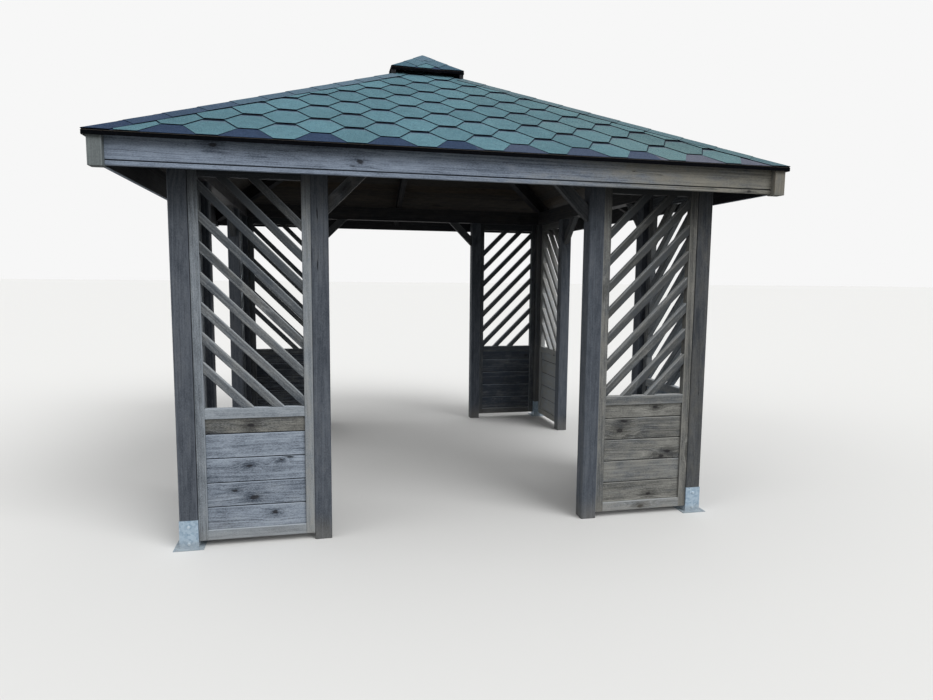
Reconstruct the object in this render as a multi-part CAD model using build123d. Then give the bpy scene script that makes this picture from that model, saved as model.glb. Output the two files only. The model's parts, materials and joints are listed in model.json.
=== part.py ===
from build123d import *
import math
import os

# Garden gazebo: a square open timber pavilion with a hipped shingle roof and a vent cupola.
# Units are millimetres. The origin is at ground level in the middle of the plan.
# +Z is up, the front faces -Y and +X is to the right of someone looking at the front.

# Numbers used only to count, halve or turn
HALF = 0.5
DOUBLE = 2
HALF_TURN = 2
QUARTER_TURN = 90
DIAGONAL_TURN = 45
DIAGONAL = math.sqrt(DOUBLE)
SIDES = ["front", "right", "rear", "left"]
CORNERS = ["front_left", "front_right", "rear_right", "rear_left"]

# Posts: square timber, outer faces on the footprint line.
# A door post stands one bay in from each corner post, and the doorway is what is left between.
footprint_width = 3000
post_width = 90
post_height = 1970
post_chamfer_width = 4
bay_width = 595

# Post shoes: a folded steel box on a drilled base plate, one under each corner post
shoe_wall_thickness = 2
shoe_plate_thickness = 3
shoe_plate_overhang = 28
shoe_height = 150
anchor_hole_inset = 15
anchor_hole_diameter = 11

# Wall panels: a framed panel between a corner post and a door post
stile_width = 46
frame_thickness = 42
frame_setback = 5
corner_post_gap = 3
panel_ground_gap = 35
rail_height = 53
top_rail_height = 64

# Lower field of horizontal boards, shown as one slab with a groove at each seam
board_slab_thickness = 18
lowest_board_height = 120
board_cover_height = 130
highest_board_height = 82
seam_count = 4
seam_groove_height = 6
seam_groove_depth = 3

# Upper field of slanting slats, high at the corner post, evenly spaced between two corner gaps
slat_width = 40
slat_thickness = 34
slat_count = 9
lowest_slat_gap = 244
highest_slat_gap = 203

# Ring beam and knee braces
beam_height = 120
brace_leg_length = 227
brace_width = 64
brace_thickness = 45

# Main roof planes. The shingles lap, so their sheet is two layers thick.
roof_pitch = 27.35
eave_overhang = 284
deck_thickness = 20
shingle_thickness = 5
hip_cap_thickness = 4
hip_cap_half_width = 80

# Rafters, their notch over the ring beam, and the square hub that they lean on
rafter_width = 47
rafter_depth = 100
rafter_notch_depth = 32
hip_rafter_width = 60
hip_rafter_depth = 120
hub_width = 320
hub_wall_thickness = 45
hub_height = 150

# Eave fascia with a grooved lower edge, and the square blocks at its corners
fascia_setback = 49
fascia_thickness = 22
fascia_drop_height = 120
fascia_strip_height = 20
fascia_groove_height = 6
fascia_groove_depth = 5
corner_block_width = 62
corner_block_setback = 16
corner_block_drop_height = 9

# Cupola: a small hipped roof on four legs over the open top of the main roof
cupola_width = 520
cupola_pitch = 33
cupola_vent_height = 28
cupola_deck_thickness = 15
cupola_leg_width = 28
cupola_leg_setback = 4
cupola_cap_half_width = 115

# Plan sizes that follow from the dimensions above
footprint_half = footprint_width * HALF
post_inner = footprint_half - post_width
post_centre = footprint_half - post_width * HALF
door_post_outer = post_inner - bay_width
door_half = door_post_outer - post_width
door_post_centre = door_half + post_width * HALF
shoe_box_width = post_width + shoe_wall_thickness * DOUBLE
shoe_plate_width = shoe_box_width + shoe_plate_overhang * DOUBLE
anchor_offset = shoe_plate_width * HALF - anchor_hole_inset
frame_front = footprint_half - frame_setback
frame_back = frame_front - frame_thickness
frame_middle = (frame_front + frame_back) * HALF
panel_corner_side = post_inner - corner_post_gap
panel_door_side = door_post_outer
field_corner_side = panel_corner_side - stile_width
field_door_side = panel_door_side + stile_width
field_width = field_corner_side - field_door_side
roof_half = footprint_half + eave_overhang
fascia_face = roof_half - fascia_setback
fascia_back = fascia_face - fascia_thickness
block_outer = roof_half - corner_block_setback
block_inner = block_outer - corner_block_width
hub_half = hub_width * HALF
hub_opening = hub_half - hub_wall_thickness
cupola_half = cupola_width * HALF
cupola_leg_outer = cupola_half - cupola_leg_setback
cupola_leg_inner = cupola_leg_outer - cupola_leg_width

# Heights of the walls
bottom_rail_top = panel_ground_gap + rail_height
lowest_seam = bottom_rail_top + lowest_board_height
highest_seam = lowest_seam + board_cover_height * (seam_count - 1)
middle_rail_bottom = highest_seam + highest_board_height
middle_rail_top = middle_rail_bottom + rail_height
top_rail_bottom = post_height - top_rail_height
lowest_slat_top = middle_rail_top + lowest_slat_gap
highest_slat_top = top_rail_bottom + field_width - highest_slat_gap
slat_pitch = (highest_slat_top - lowest_slat_top) / (slat_count - 1)
slat_drop = slat_width * DIAGONAL
brace_inner_leg = brace_leg_length - brace_width * DIAGONAL
beam_top = post_height + beam_height
lap_height = post_height + beam_height * HALF

# Heights of the roof, built up from the notched rafters on the ring beam
slope = math.tan(math.radians(roof_pitch))
steepness = 1 / math.cos(math.radians(roof_pitch))
rafter_rise = rafter_depth * steepness
deck_rise = deck_thickness * steepness
shingle_rise = shingle_thickness * steepness
cap_rise = hip_cap_thickness * steepness
deck_over_beam = beam_top - rafter_notch_depth + rafter_rise
deck_eave_bottom = deck_over_beam - eave_overhang * slope
deck_eave_top = deck_eave_bottom + deck_rise
shingle_eave_top = deck_eave_top + shingle_rise
cap_eave_top = shingle_eave_top + cap_rise
roof_peak = deck_eave_bottom + roof_half * slope
above_roof = roof_peak + roof_half
hip_run = roof_half * DIAGONAL
hip_slope = slope / DIAGONAL
hip_rafter_rise = hip_rafter_depth / math.cos(math.atan(hip_slope))
hip_rafter_eave_bottom = deck_eave_bottom - hip_rafter_rise
hub_bottom = roof_peak - hub_half * slope - hub_height
fascia_bottom = deck_eave_bottom - fascia_drop_height
fascia_groove_bottom = fascia_bottom + fascia_strip_height
block_bottom = fascia_bottom - corner_block_drop_height
cupola_slope = math.tan(math.radians(cupola_pitch))
cupola_steepness = 1 / math.cos(math.radians(cupola_pitch))
roof_at_cupola = shingle_eave_top + (roof_half - cupola_half) * slope
cupola_deck_bottom = roof_at_cupola + cupola_vent_height
cupola_deck_top = cupola_deck_bottom + cupola_deck_thickness * cupola_steepness
cupola_shingle_top = cupola_deck_top + shingle_thickness * cupola_steepness
cupola_cap_top = cupola_shingle_top + hip_cap_thickness * cupola_steepness

os.makedirs("parts", exist_ok=True)


def save(shape, name):
    """Write one piece, or one group of like pieces, as a STEP file."""
    export_step(shape, f"parts/{name}.step")


def block(x_from, x_to, y_from, y_to, z_from, z_to):
    """A box given by its six faces."""
    middle = ((x_from + x_to) * HALF, (y_from + y_to) * HALF, (z_from + z_to) * HALF)
    return Pos(*middle) * Box(x_to - x_from, y_to - y_from, z_to - z_from)


def prism(points, plane, length):
    """A flat outline on a plane, thickened equally to both sides."""
    outline = Polyline(*points, close=True)
    return extrude(plane * make_face(outline), amount=length * HALF, both=True)


def turned(shape, quarter_turns):
    """A shape turned about the vertical axis from the front to another side."""
    return Rot(0, 0, QUARTER_TURN * quarter_turns) * shape


def solids(shapes):
    """Several separate solids in one group."""
    return Compound(children=list(shapes))


def under_roof(half, eave_z, rise, floor_z):
    """Everything below a square hipped roof: where two crossed gables overlap."""
    outline = [(-half, floor_z), (half, floor_z), (half, eave_z)]
    outline += [(0, eave_z + half * rise), (-half, eave_z)]
    across = prism(outline, Plane.XZ, half * DOUBLE)
    along = prism(outline, Plane.YZ, half * DOUBLE)
    return across & along


def front_quarter(half, height):
    """The quarter of the plan that lies in front, as a tall triangular prism."""
    outline = [(0, 0), (-half, -half), (half, -half)]
    return prism(outline, Plane.XY, height * DOUBLE)


# Posts and shoes
corner_posts = {}
for name in CORNERS:
    x_sign = 1 if name.endswith("right") else -1
    y_sign = 1 if name.startswith("rear") else -1
    length = post_height - shoe_plate_thickness
    timber = Box(post_width, post_width, length)
    timber = chamfer(timber.edges().filter_by(Axis.Z), post_chamfer_width)
    height = shoe_plate_thickness + length * HALF
    corner_posts[name] = Pos(x_sign * post_centre, y_sign * post_centre, height) * timber
    save(corner_posts[name], f"corner_post_{name}")

door_post = Box(post_width, post_width, post_height)
door_post = chamfer(door_post.edges().filter_by(Axis.Z), post_chamfer_width)
door_pair = []
for x_sign in (-1, 1):
    door_pair.append(Pos(x_sign * door_post_centre, -post_centre, post_height * HALF) * door_post)
for turns, side in enumerate(SIDES):
    save(solids([turned(post, turns) for post in door_pair]), f"door_posts_{side}")

shoe = Pos(0, 0, shoe_plate_thickness * HALF) * Box(
    shoe_plate_width, shoe_plate_width, shoe_plate_thickness)
shoe += Pos(0, 0, shoe_height * HALF) * Box(shoe_box_width, shoe_box_width, shoe_height)
shoe -= block(-post_width * HALF, post_width * HALF, -post_width * HALF, post_width * HALF,
              shoe_plate_thickness, shoe_height)
for x_sign in (-1, 1):
    for y_sign in (-1, 1):
        hole = Cylinder(anchor_hole_diameter * HALF, shoe_height)
        shoe -= Pos(x_sign * anchor_offset, y_sign * anchor_offset, 0) * hole
shoes = []
for x_sign in (-1, 1):
    for y_sign in (-1, 1):
        shoes.append(Pos(x_sign * post_centre, y_sign * post_centre, 0) * shoe)
save(solids(shoes), "post_shoes")


# Wall panels, drawn for the left half of the front and then mirrored and turned
def frame_bar(x_from, x_to, z_from, z_to):
    """A bar of the panel frame."""
    return block(x_from, x_to, -frame_front, -frame_back, z_from, z_to)


panel = frame_bar(-panel_corner_side, -field_corner_side, panel_ground_gap, post_height)
panel += frame_bar(-field_door_side, -panel_door_side, panel_ground_gap, post_height)
for rail_bottom, rail_top in (
        (panel_ground_gap, bottom_rail_top),
        (middle_rail_bottom, middle_rail_top),
        (top_rail_bottom, post_height)):
    panel += frame_bar(-field_corner_side, -field_door_side, rail_bottom, rail_top)

slab_front = -frame_middle - board_slab_thickness * HALF
slab_back = -frame_middle + board_slab_thickness * HALF
slab = block(-field_corner_side, -field_door_side, slab_front, slab_back,
             bottom_rail_top, middle_rail_bottom)
for seam in range(seam_count):
    seam_z = lowest_seam + seam * board_cover_height
    seam_bottom = seam_z - seam_groove_height * HALF
    seam_top = seam_z + seam_groove_height * HALF
    slab -= block(-field_corner_side, -field_door_side, slab_front, slab_front + seam_groove_depth,
                  seam_bottom, seam_top)
    slab -= block(-field_corner_side, -field_door_side, slab_back - seam_groove_depth, slab_back,
                  seam_bottom, seam_top)
panel += slab

upper_field = block(-field_corner_side, -field_door_side, -frame_front, -frame_back,
                    middle_rail_top, top_rail_bottom)
for number in range(slat_count):
    top_z = lowest_slat_top + number * slat_pitch
    outline = [(-field_corner_side, top_z), (-field_corner_side, top_z - slat_drop)]
    outline += [(-field_door_side, top_z - slat_drop - field_width)]
    outline += [(-field_door_side, top_z - field_width)]
    slat = Pos(0, -frame_middle, 0) * prism(outline, Plane.XZ, slat_thickness)
    panel += slat & upper_field

mirrored_panel = mirror(panel, Plane.YZ)
left_names = ["front_left", "right_front", "rear_right", "left_rear"]
right_names = ["front_right", "right_rear", "rear_left", "left_front"]
for turns, side in enumerate(SIDES):
    save(turned(panel, turns), f"panel_{left_names[turns]}")
    save(turned(mirrored_panel, turns), f"panel_{right_names[turns]}")

# Ring beams, half lapped over the corner posts
beams = {}
front_beam = block(-footprint_half, footprint_half, -footprint_half, -post_inner,
                   post_height, beam_top)
for x_from, x_to in ((-footprint_half, -post_inner), (post_inner, footprint_half)):
    front_beam -= block(x_from, x_to, -footprint_half, -post_inner, lap_height, beam_top)
side_beam = block(post_inner, footprint_half, -footprint_half, footprint_half,
                  post_height, beam_top)
for y_from, y_to in ((-footprint_half, -post_inner), (post_inner, footprint_half)):
    side_beam -= block(post_inner, footprint_half, y_from, y_to, post_height, lap_height)
beams["front"] = front_beam
beams["right"] = side_beam
beams["rear"] = turned(front_beam, HALF_TURN)
beams["left"] = turned(side_beam, HALF_TURN)
for side in SIDES:
    save(beams[side], f"ring_beam_{side}")
ring = beams["front"] + beams["right"] + beams["rear"] + beams["left"]

# Knee braces between the door posts and the ring beam
outline = [(-door_half, post_height - brace_leg_length)]
outline += [(-door_half, post_height - brace_inner_leg)]
outline += [(-door_half + brace_inner_leg, post_height)]
outline += [(-door_half + brace_leg_length, post_height)]
brace = Pos(0, -post_centre, 0) * prism(outline, Plane.XZ, brace_thickness)
brace_pair = [brace, mirror(brace, Plane.YZ)]
for turns, side in enumerate(SIDES):
    save(solids([turned(piece, turns) for piece in brace_pair]), f"braces_{side}")

# Roof volumes that the timbers and coverings are cut from
below_deck = under_roof(roof_half, deck_eave_bottom, slope, 0)
below_shingles = under_roof(roof_half, deck_eave_top, slope, 0)
below_caps = under_roof(roof_half, shingle_eave_top, slope, 0)
below_cap_tops = under_roof(roof_half, cap_eave_top, slope, 0)
below_rafters = under_roof(roof_half, deck_eave_bottom - rafter_rise, slope, 0)
roof_opening = block(-hub_opening, hub_opening, -hub_opening, hub_opening, 0, above_roof)

# Hub
hub = block(-hub_half, hub_half, -hub_half, hub_half, hub_bottom, above_roof)
hub = (hub - roof_opening) & below_deck
save(hub, "roof_hub")

# Common rafters, one in the middle of each slope, notched over the ring beam
rafter = block(-rafter_width * HALF, rafter_width * HALF, -fascia_back, -hub_half,
               0, above_roof)
rafter = (rafter & below_deck) - below_rafters - ring
save(solids([turned(rafter, turns) for turns in range(len(SIDES))]), "common_rafters")

# Hip rafters, notched over the ring beam and cut to the corner blocks and the hub
corner_block = block(-block_outer, -block_inner, -block_outer, -block_inner,
                     block_bottom, above_roof) & below_deck
outline = [(0, hip_rafter_eave_bottom + hip_run * hip_slope), (0, above_roof)]
outline += [(-hip_run, above_roof), (-hip_run, hip_rafter_eave_bottom)]
hip = Rot(0, 0, DIAGONAL_TURN) * prism(outline, Plane.XZ, hip_rafter_width)
hub_column = block(-hub_half, hub_half, -hub_half, hub_half, 0, above_roof)
inside_fascia = block(-fascia_back, fascia_back, -fascia_back, fascia_back, 0, above_roof)
hip = (hip & below_deck & inside_fascia) - hub_column - ring - corner_block
save(solids([turned(hip, turns) for turns in range(len(SIDES))]), "hip_rafters")

# Fascia boards between the corner blocks
fascia = block(-block_inner, block_inner, -fascia_face, -fascia_back,
               fascia_bottom, above_roof) & below_deck
fascia -= block(-block_inner, block_inner, -fascia_face, -fascia_face + fascia_groove_depth,
                fascia_groove_bottom, fascia_groove_bottom + fascia_groove_height)
for turns, side in enumerate(SIDES):
    save(turned(fascia, turns), f"fascia_{side}")
save(solids([turned(corner_block, turns) for turns in range(len(SIDES))]), "corner_blocks")

# Roof deck and shingles, one piece to a slope
quarter = front_quarter(roof_half, above_roof)
deck = (below_shingles - below_deck - roof_opening) & quarter
shingles = (below_caps - below_shingles - roof_opening) & quarter

# Cupola legs stand on the deck and pass through the shingles
below_cupola = under_roof(cupola_half, cupola_deck_bottom, cupola_slope, 0)
leg = block(-cupola_leg_outer, -cupola_leg_inner, -cupola_leg_outer, -cupola_leg_inner,
            0, above_roof)
leg = (leg & below_cupola) - below_shingles
legs = [turned(leg, turns) for turns in range(len(SIDES))]
save(solids(legs), "cupola_legs")
for piece in legs:
    shingles -= piece
for turns, side in enumerate(SIDES):
    save(turned(deck, turns), f"deck_{side}")
    save(turned(shingles, turns), f"shingles_{side}")

# Caps folded over the four hips, from the eave up to the cupola legs
cap = Rot(0, 0, DIAGONAL_TURN) * block(-hip_run, 0, -hip_cap_half_width, hip_cap_half_width,
                                       0, above_roof)
cap = (cap & (below_cap_tops - below_caps))
cap -= block(-cupola_leg_outer, 0, -cupola_leg_outer, 0, 0, above_roof)
cap &= block(-roof_half, 0, -roof_half, 0, 0, above_roof)
save(solids([turned(cap, turns) for turns in range(len(SIDES))]), "hip_caps")

# Cupola roof: deck, then shingles with their hip caps
below_cupola_shingles = under_roof(cupola_half, cupola_deck_top, cupola_slope, 0)
below_cupola_caps = under_roof(cupola_half, cupola_shingle_top, cupola_slope, 0)
below_cupola_tops = under_roof(cupola_half, cupola_cap_top, cupola_slope, 0)
save(below_cupola_shingles - below_cupola, "cupola_deck")
covering = below_cupola_caps - below_cupola_shingles
for diagonal in (DIAGONAL_TURN, -DIAGONAL_TURN):
    strip = Rot(0, 0, diagonal) * block(-hip_run, hip_run, -cupola_cap_half_width,
                                        cupola_cap_half_width, 0, above_roof)
    covering += strip & (below_cupola_tops - below_cupola_caps)
save(covering, "cupola_covering")
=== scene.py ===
# %% [markdown]
# # Dressing a garden gazebo, cell by cell
# The frame holds the solid pieces of a square timber gazebo: posts in steel shoes, slatted wall panels,
# a ring beam, rafters, a boarded roof and a small vented cupola. They have the right sizes and places
# but no finish. Each cell below looks at one piece or finish, says how it could be made in Blender and
# why this way was taken, and then makes it. Everything is in metres, with +Z up and the front facing -Y.

# %% Load the frame and keep its outer box
import json
import math
import random

import bmesh
import bpy
import numpy as np
from mathutils import Matrix, Vector

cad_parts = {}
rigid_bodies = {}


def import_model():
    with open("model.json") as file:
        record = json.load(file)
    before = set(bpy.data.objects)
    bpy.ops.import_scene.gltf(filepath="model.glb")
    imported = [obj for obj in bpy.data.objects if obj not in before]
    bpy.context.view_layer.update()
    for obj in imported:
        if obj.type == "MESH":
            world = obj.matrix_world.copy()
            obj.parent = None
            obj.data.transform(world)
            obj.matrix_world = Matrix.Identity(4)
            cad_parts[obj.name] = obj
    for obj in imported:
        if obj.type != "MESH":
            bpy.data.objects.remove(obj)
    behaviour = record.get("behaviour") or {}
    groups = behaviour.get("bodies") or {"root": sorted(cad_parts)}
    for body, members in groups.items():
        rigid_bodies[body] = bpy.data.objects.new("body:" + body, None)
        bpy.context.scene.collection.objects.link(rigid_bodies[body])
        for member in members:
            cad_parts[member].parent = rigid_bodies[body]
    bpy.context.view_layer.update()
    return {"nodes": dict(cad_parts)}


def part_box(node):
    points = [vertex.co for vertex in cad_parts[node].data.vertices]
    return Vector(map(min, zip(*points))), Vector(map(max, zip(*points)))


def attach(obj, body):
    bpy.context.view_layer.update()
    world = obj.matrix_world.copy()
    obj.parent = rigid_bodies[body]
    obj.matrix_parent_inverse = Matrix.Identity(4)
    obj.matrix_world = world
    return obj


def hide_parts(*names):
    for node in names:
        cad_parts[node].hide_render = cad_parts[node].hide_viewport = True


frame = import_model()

SIDES = ["front", "right", "rear", "left"]
CORNERS = ["front_left", "front_right", "rear_right", "rear_left"]
print("nodes in the frame:", len(frame["nodes"]))

# %% [markdown]
# ## Arithmetic on shader sockets
# A procedural finish is mostly sums: a ring pattern plus a streak pattern, one minus a mask. Wiring each
# sum by hand hides the idea, so one small class wraps an output socket and lets Python's own operators
# add the Math, Vector Math or Mix nodes. Every other node comes from its `node` method.


# %% The socket wrapper
def per_channel(value, size):
    """Give a plain number or a short tuple as many channels as a vector or colour has."""
    if isinstance(value, (int, float)):
        return (value,) * size
    if isinstance(value, tuple):
        return value[:size] + (1,) * (size - len(value))
    return value


class Signal:
    """One output socket, so that shader maths reads like arithmetic."""

    def __init__(self, tree, socket=None):
        self.tree = tree
        self.socket = socket

    def node(self, kind, settings=None, sockets=None, output=0):
        """Add any node: its settings first, then the values or links of its sockets."""
        made = self.tree.nodes.new(kind)
        for name, value in (settings or {}).items():
            if name == "stops":
                self.set_stops(made.color_ramp, value)
            else:
                setattr(made, name, value)
        for name, value in (sockets or {}).items():
            if isinstance(value, Signal):
                self.tree.links.new(value.socket, made.inputs[name])
            else:
                made.inputs[name].default_value = value
        return Signal(self.tree, made.outputs[output] if made.outputs else None)

    @staticmethod
    def set_stops(ramp, stops):
        """Give a colour ramp its list of (place, colour) stops."""
        while len(ramp.elements) < len(stops):
            ramp.elements.new(1.0)
        for element, (place, colour) in zip(ramp.elements, stops):
            element.position = place
            element.color = colour

    def combine(self, operation, first, second):
        """Use the node family that keeps colours and vectors whole."""
        kinds = [part.socket.type for part in (first, second) if isinstance(part, Signal)]
        if "RGBA" in kinds:
            settings = {"data_type": "RGBA", "blend_type": operation}
            parts = {0: 1.0, 6: per_channel(first, 4), 7: per_channel(second, 4)}
            return self.node("ShaderNodeMix", settings, parts, 2)
        if "VECTOR" in kinds:
            parts = {0: per_channel(first, 3), 1: per_channel(second, 3)}
            return self.node("ShaderNodeVectorMath", {"operation": operation}, parts)
        return self.node("ShaderNodeMath", {"operation": operation}, {0: first, 1: second})

    def __add__(self, other):
        return self.combine("ADD", self, other)

    def __radd__(self, other):
        return self.combine("ADD", other, self)

    def __sub__(self, other):
        return self.combine("SUBTRACT", self, other)

    def __rsub__(self, other):
        return self.combine("SUBTRACT", other, self)

    def __mul__(self, other):
        return self.combine("MULTIPLY", self, other)

    def __rmul__(self, other):
        return self.combine("MULTIPLY", other, self)

    def __truediv__(self, other):
        return self.combine("DIVIDE", self, other)

    def __abs__(self):
        return self.node("ShaderNodeMath", {"operation": "ABSOLUTE"}, {0: self})

    def least(self, other):
        """The smaller of two values."""
        return self.node("ShaderNodeMath", {"operation": "MINIMUM"}, {0: self, 1: other})

    def length(self):
        """The length of a vector."""
        return self.node("ShaderNodeVectorMath", {"operation": "LENGTH"}, {0: self}, "Value")

    def rise(self, low, high):
        """A smooth step from 0 at low to 1 at high."""
        ends = {"Value": self, "From Min": low, "From Max": high}
        return self.node("ShaderNodeMapRange", {"interpolation_type": "SMOOTHSTEP"}, ends)

    def blend(self, low, high):
        """Use this mask to go from one colour to another."""
        return self.node("ShaderNodeMix", {"data_type": "RGBA"}, {0: self, 6: low, 7: high}, 2)

    def axis(self, number):
        """One part of a vector or colour."""
        return self.node("ShaderNodeSeparateXYZ", {}, {"Vector": self}, number)

    def attribute(self, name):
        """A vector that the mesh carries under this name."""
        return self.node("ShaderNodeAttribute", {"attribute_name": name}, {}, "Vector")

    def noise(self, stretch=(1, 1, 1), detail=2.0, rough=0.5, output=0):
        """Cloudy noise over this vector, after a stretch along each axis."""
        settings = {"noise_dimensions": "3D"}
        sockets = {"Vector": self * stretch, "Scale": 1.0, "Detail": detail, "Roughness": rough}
        return self.node("ShaderNodeTexNoise", settings, sockets, output)

    def cells(self, scale=1.0, dimensions="3D", output=0):
        """Voronoi cells over this vector. Output 0 is the distance to a centre, 1 its random colour."""
        settings = {"voronoi_dimensions": dimensions}
        sockets = {"Vector": self, "Scale": scale}
        return self.node("ShaderNodeTexVoronoi", settings, sockets, output)


def weighted(patterns, shares):
    """The sum of some patterns, each times its own share."""
    first, *others = [pattern * share for pattern, share in zip(patterns, shares)]
    return sum(others, first)


print("signals can add, subtract, multiply and divide")

# %% [markdown]
# ## Writing colours as a painter names them
# Shader sockets want linear light, but a stain is easier to judge in the 0 to 255 numbers of a screen.
# One helper turns those into linear values, and another starts an empty material and closes it with a
# surface, so that each finish below only has to say what varies.


# %% Colours and empty materials
def paint(red, green, blue):
    """A screen colour as linear light, with full opacity."""
    scaled = [channel / 255 for channel in (red, green, blue)]
    return tuple(c / 12.92 if c < 0.04045 else ((c + 0.055) / 1.055) ** 2.4 for c in scaled) + (1.0,)


def new_material(name):
    """An empty material, and a starting signal in its tree."""
    material = bpy.data.materials.new(name)
    material.use_nodes = True
    material.node_tree.nodes.clear()
    return material, Signal(material.node_tree)


def close_material(start, height, bump_distance, sockets):
    """Finish a material with a bumped surface shader."""
    heights = {"Strength": 1.0, "Distance": bump_distance, "Height": height}
    normal = start.node("ShaderNodeBump", {}, heights)
    shader = start.node("ShaderNodeBsdfPrincipled", {}, {**sockets, "Normal": normal})
    start.node("ShaderNodeOutputMaterial", {}, {"Surface": shader})


print("mid grey in linear light:", round(paint(119, 119, 119)[0], 3))

# %% [markdown]
# ## Stained softwood
# Every timber is planed spruce under a thin grey-blue stain. The stain sinks into the soft early wood
# and stays pale on the hard late wood, so the growth rings show as light and dark lines that bend round
# the knots. An image would repeat from board to board. Here the wood is solid instead: rings are
# distances from a heart line that runs along the timber, as in a real log, so faces, edges and ends
# agree, and each timber carries its own heart line in an attribute. Knots are cells in a stretched
# Voronoi pattern. They push the ring distance outwards, which makes the lines flow round them. A
# painted highlight lightens the upper edges and every side that looks up, as if lit from above, and the
# lower edges are darker. Painted shade darkens the wood under the eave and the cut sides inside joints,
# and mud has splashed the lowest part.

# %% Measures of the wood
RINGS_PER_METRE = 130
RINGS_SLANT = 0.35
KNOTS_PER_METRE = (2.3, 4.4)
KNOT_CORE = (0.022, 0.055)
KNOT_SMOKE = (0.03, 0.20)
KNOT_REACH = (0.04, 0.34)
KNOT_PUSH = 0.016
SMOKE_DARKENING = 0.4
TONE_ENDS = (-0.25, 1.25)
ARRIS_WIDTH = 0.008
WOOD_BUMP = 0.0009
SPLASH_HEIGHT = 0.16
# Heights where the painted shade under the eave begins and is in full
PAINTED_EAVE_SHADE_HEIGHTS = (1.72, 1.96)
# How far up a face must look to get the painted highlight of light from above, and how much lighter
TOP_LIGHT_NORMALS = (0.4, 0.75)
TOP_HIGHLIGHT_GAIN = (1.3, 1.3, 1.3, 1.0)
# Noises, each with its cells to a metre along and across the grain, its detail and its roughness
STREAKS = ((6, 120, 120), 3.0, 0.65)
SPECKLE = ((120, 320, 320), 2.0, 0.6)
PATCHES = ((1.8, 7, 7), 2.0, 0.5)
MOTTLE = ((11, 32, 32), 3.0, 0.6)
CRACKS = ((0.8, 38, 38), 1.0, 0.4)
# Shares of rings, streaks, speckle, patches, mottle and the timber's own luck in the tone
TONE_SHARES = (0.95, 0.85, 1.2, 0.8, 0.8, 0.22)
# Shares of cracks, darker lower edges, end grain and the painted shade inside joints in the darkening
DARK_SHARES = (0.85, 0.4, 0.5, 0.8)
# Shares of rings, streaks, speckle, cracks and knots in the bump
BUMP_SHARES = (0.25, 0.3, 0.45, -1.5, 0.4)
KNOT_COLOUR = paint(34, 33, 36)
# Cracks take this colour, and so does the painted shade under the eave and inside joints
CRACK_AND_SHADE_COLOUR = paint(20, 21, 25)
DUST_COLOUR = paint(150, 143, 128)
print("wood is splashed up to", round(SPLASH_HEIGHT * 1000), "mm")


# %% Knots
# A noise's cells along and across the grain, with how far it pushes a knot's outline
WANDER = (3, 9, 0)
WANDER_PUSH = (0.10, 0.10, 0)
CHOSEN_PUSH = (0.05, 0.05, 0)
RAGGED = (26, 60, 0)
RAGGED_PUSH = (0.09, 0.09, 0)
SMALLEST_KNOT = 0.5
KNOT_GROWTH = 0.8
# Keeps a chosen knot of no size from dividing by zero
TINIEST = 0.0001


def knot_distance(face, spots, knot_share):
    """How far the nearest knot is, as a share of its size. Chosen knots count besides scattered ones."""
    wander = face.noise(WANDER, output=1) - 0.5
    ragged = (face.noise(RAGGED, output=1) - 0.5) * RAGGED_PUSH
    scattered = face * (*KNOTS_PER_METRE, 0) + wander * WANDER_PUSH + ragged
    distance, luck = (scattered.cells(dimensions="2D", output=output) for output in (0, 1))
    missing = 1 - luck.axis(0).rise(1 - knot_share, 1.02 - knot_share)
    nearest = distance / (SMALLEST_KNOT + luck.axis(1) * KNOT_GROWTH) + missing
    for spot in spots:
        offset = spot * (*KNOTS_PER_METRE, 0) + wander * CHOSEN_PUSH + ragged
        nearest = nearest.least(offset.length() / (spot.axis(2) + TINIEST))
    return nearest


print("room for a knot every", round(1000 / KNOTS_PER_METRE[0]), "mm of a face")


# %% Growth rings
DRIFT = (0.9, 7, 7)
DRIFT_PUSH = (0, 0.022, 0.022)


def growth_rings(fibre, reach):
    """Light and dark rings about the heart line, pushed outwards where a knot reaches them."""
    drift = fibre.noise(DRIFT, output=1) - 0.5
    radius = ((fibre + drift * DRIFT_PUSH) * (0, 1, 1)).length()
    place = (radius + reach * KNOT_PUSH) * RINGS_PER_METRE + fibre.axis(0) * RINGS_SLANT
    sockets = {"W": place, "Scale": 1.0, "Detail": 3.0, "Roughness": 0.65}
    return fibre.node("ShaderNodeTexNoise", {"noise_dimensions": "1D"}, sockets)


print("a ring every", round(1000 / RINGS_PER_METRE, 1), "mm")


# %% Edges, joints and cracks
UNEVEN_EDGE = 0.006
# How far the darker lower edge reaches, as a share of the upper edge's painted highlight
LOWER_EDGE_SHARE = 0.7
# Where the painted shade on a cut side inside a joint begins and is in full, in metres from the face's
# rim
JOINT_ACROSS = (0.004, 0.006)
JOINT_INWARDS = (0.001, 0.003)
CRACK_WIDTHS = (0.002, 0.007)
DRY_PATCHES = (0.56, 0.64)


def edge_light_and_shade(half, middle, streaks):
    """Masks for the painted highlight on the upper edge, the darker lower edge and the cut sides inside
    a joint, which get painted shade.
    """
    above = half.axis(0) - middle.axis(0)
    below = half.axis(0) + middle.axis(0)
    inwards = half.axis(1) - abs(middle.axis(1))
    uneven = inwards + (streaks - 0.5) * UNEVEN_EDGE
    upper_edge_highlight = 1 - (above + uneven).rise(0.0, ARRIS_WIDTH)
    darker_lower_edge = 1 - (below + uneven).rise(0.0, ARRIS_WIDTH * LOWER_EDGE_SHARE)
    inside = (half.axis(0) - abs(middle.axis(0))).rise(*JOINT_ACROSS) * inwards.rise(*JOINT_INWARDS)
    return upper_edge_highlight, darker_lower_edge, inside


def cracks(fibre, patches):
    """Thin lines along the grain, in the drier patches only."""
    line = abs(fibre.noise(*CRACKS) - 0.5)
    return (1 - line.rise(*CRACK_WIDTHS)) * patches.rise(*DRY_PATCHES)


# The painted highlight on the upper edge, and the darker lower edge, reach this far in
print("an edge is worn over", round(ARRIS_WIDTH * 1000), "mm")


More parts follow.
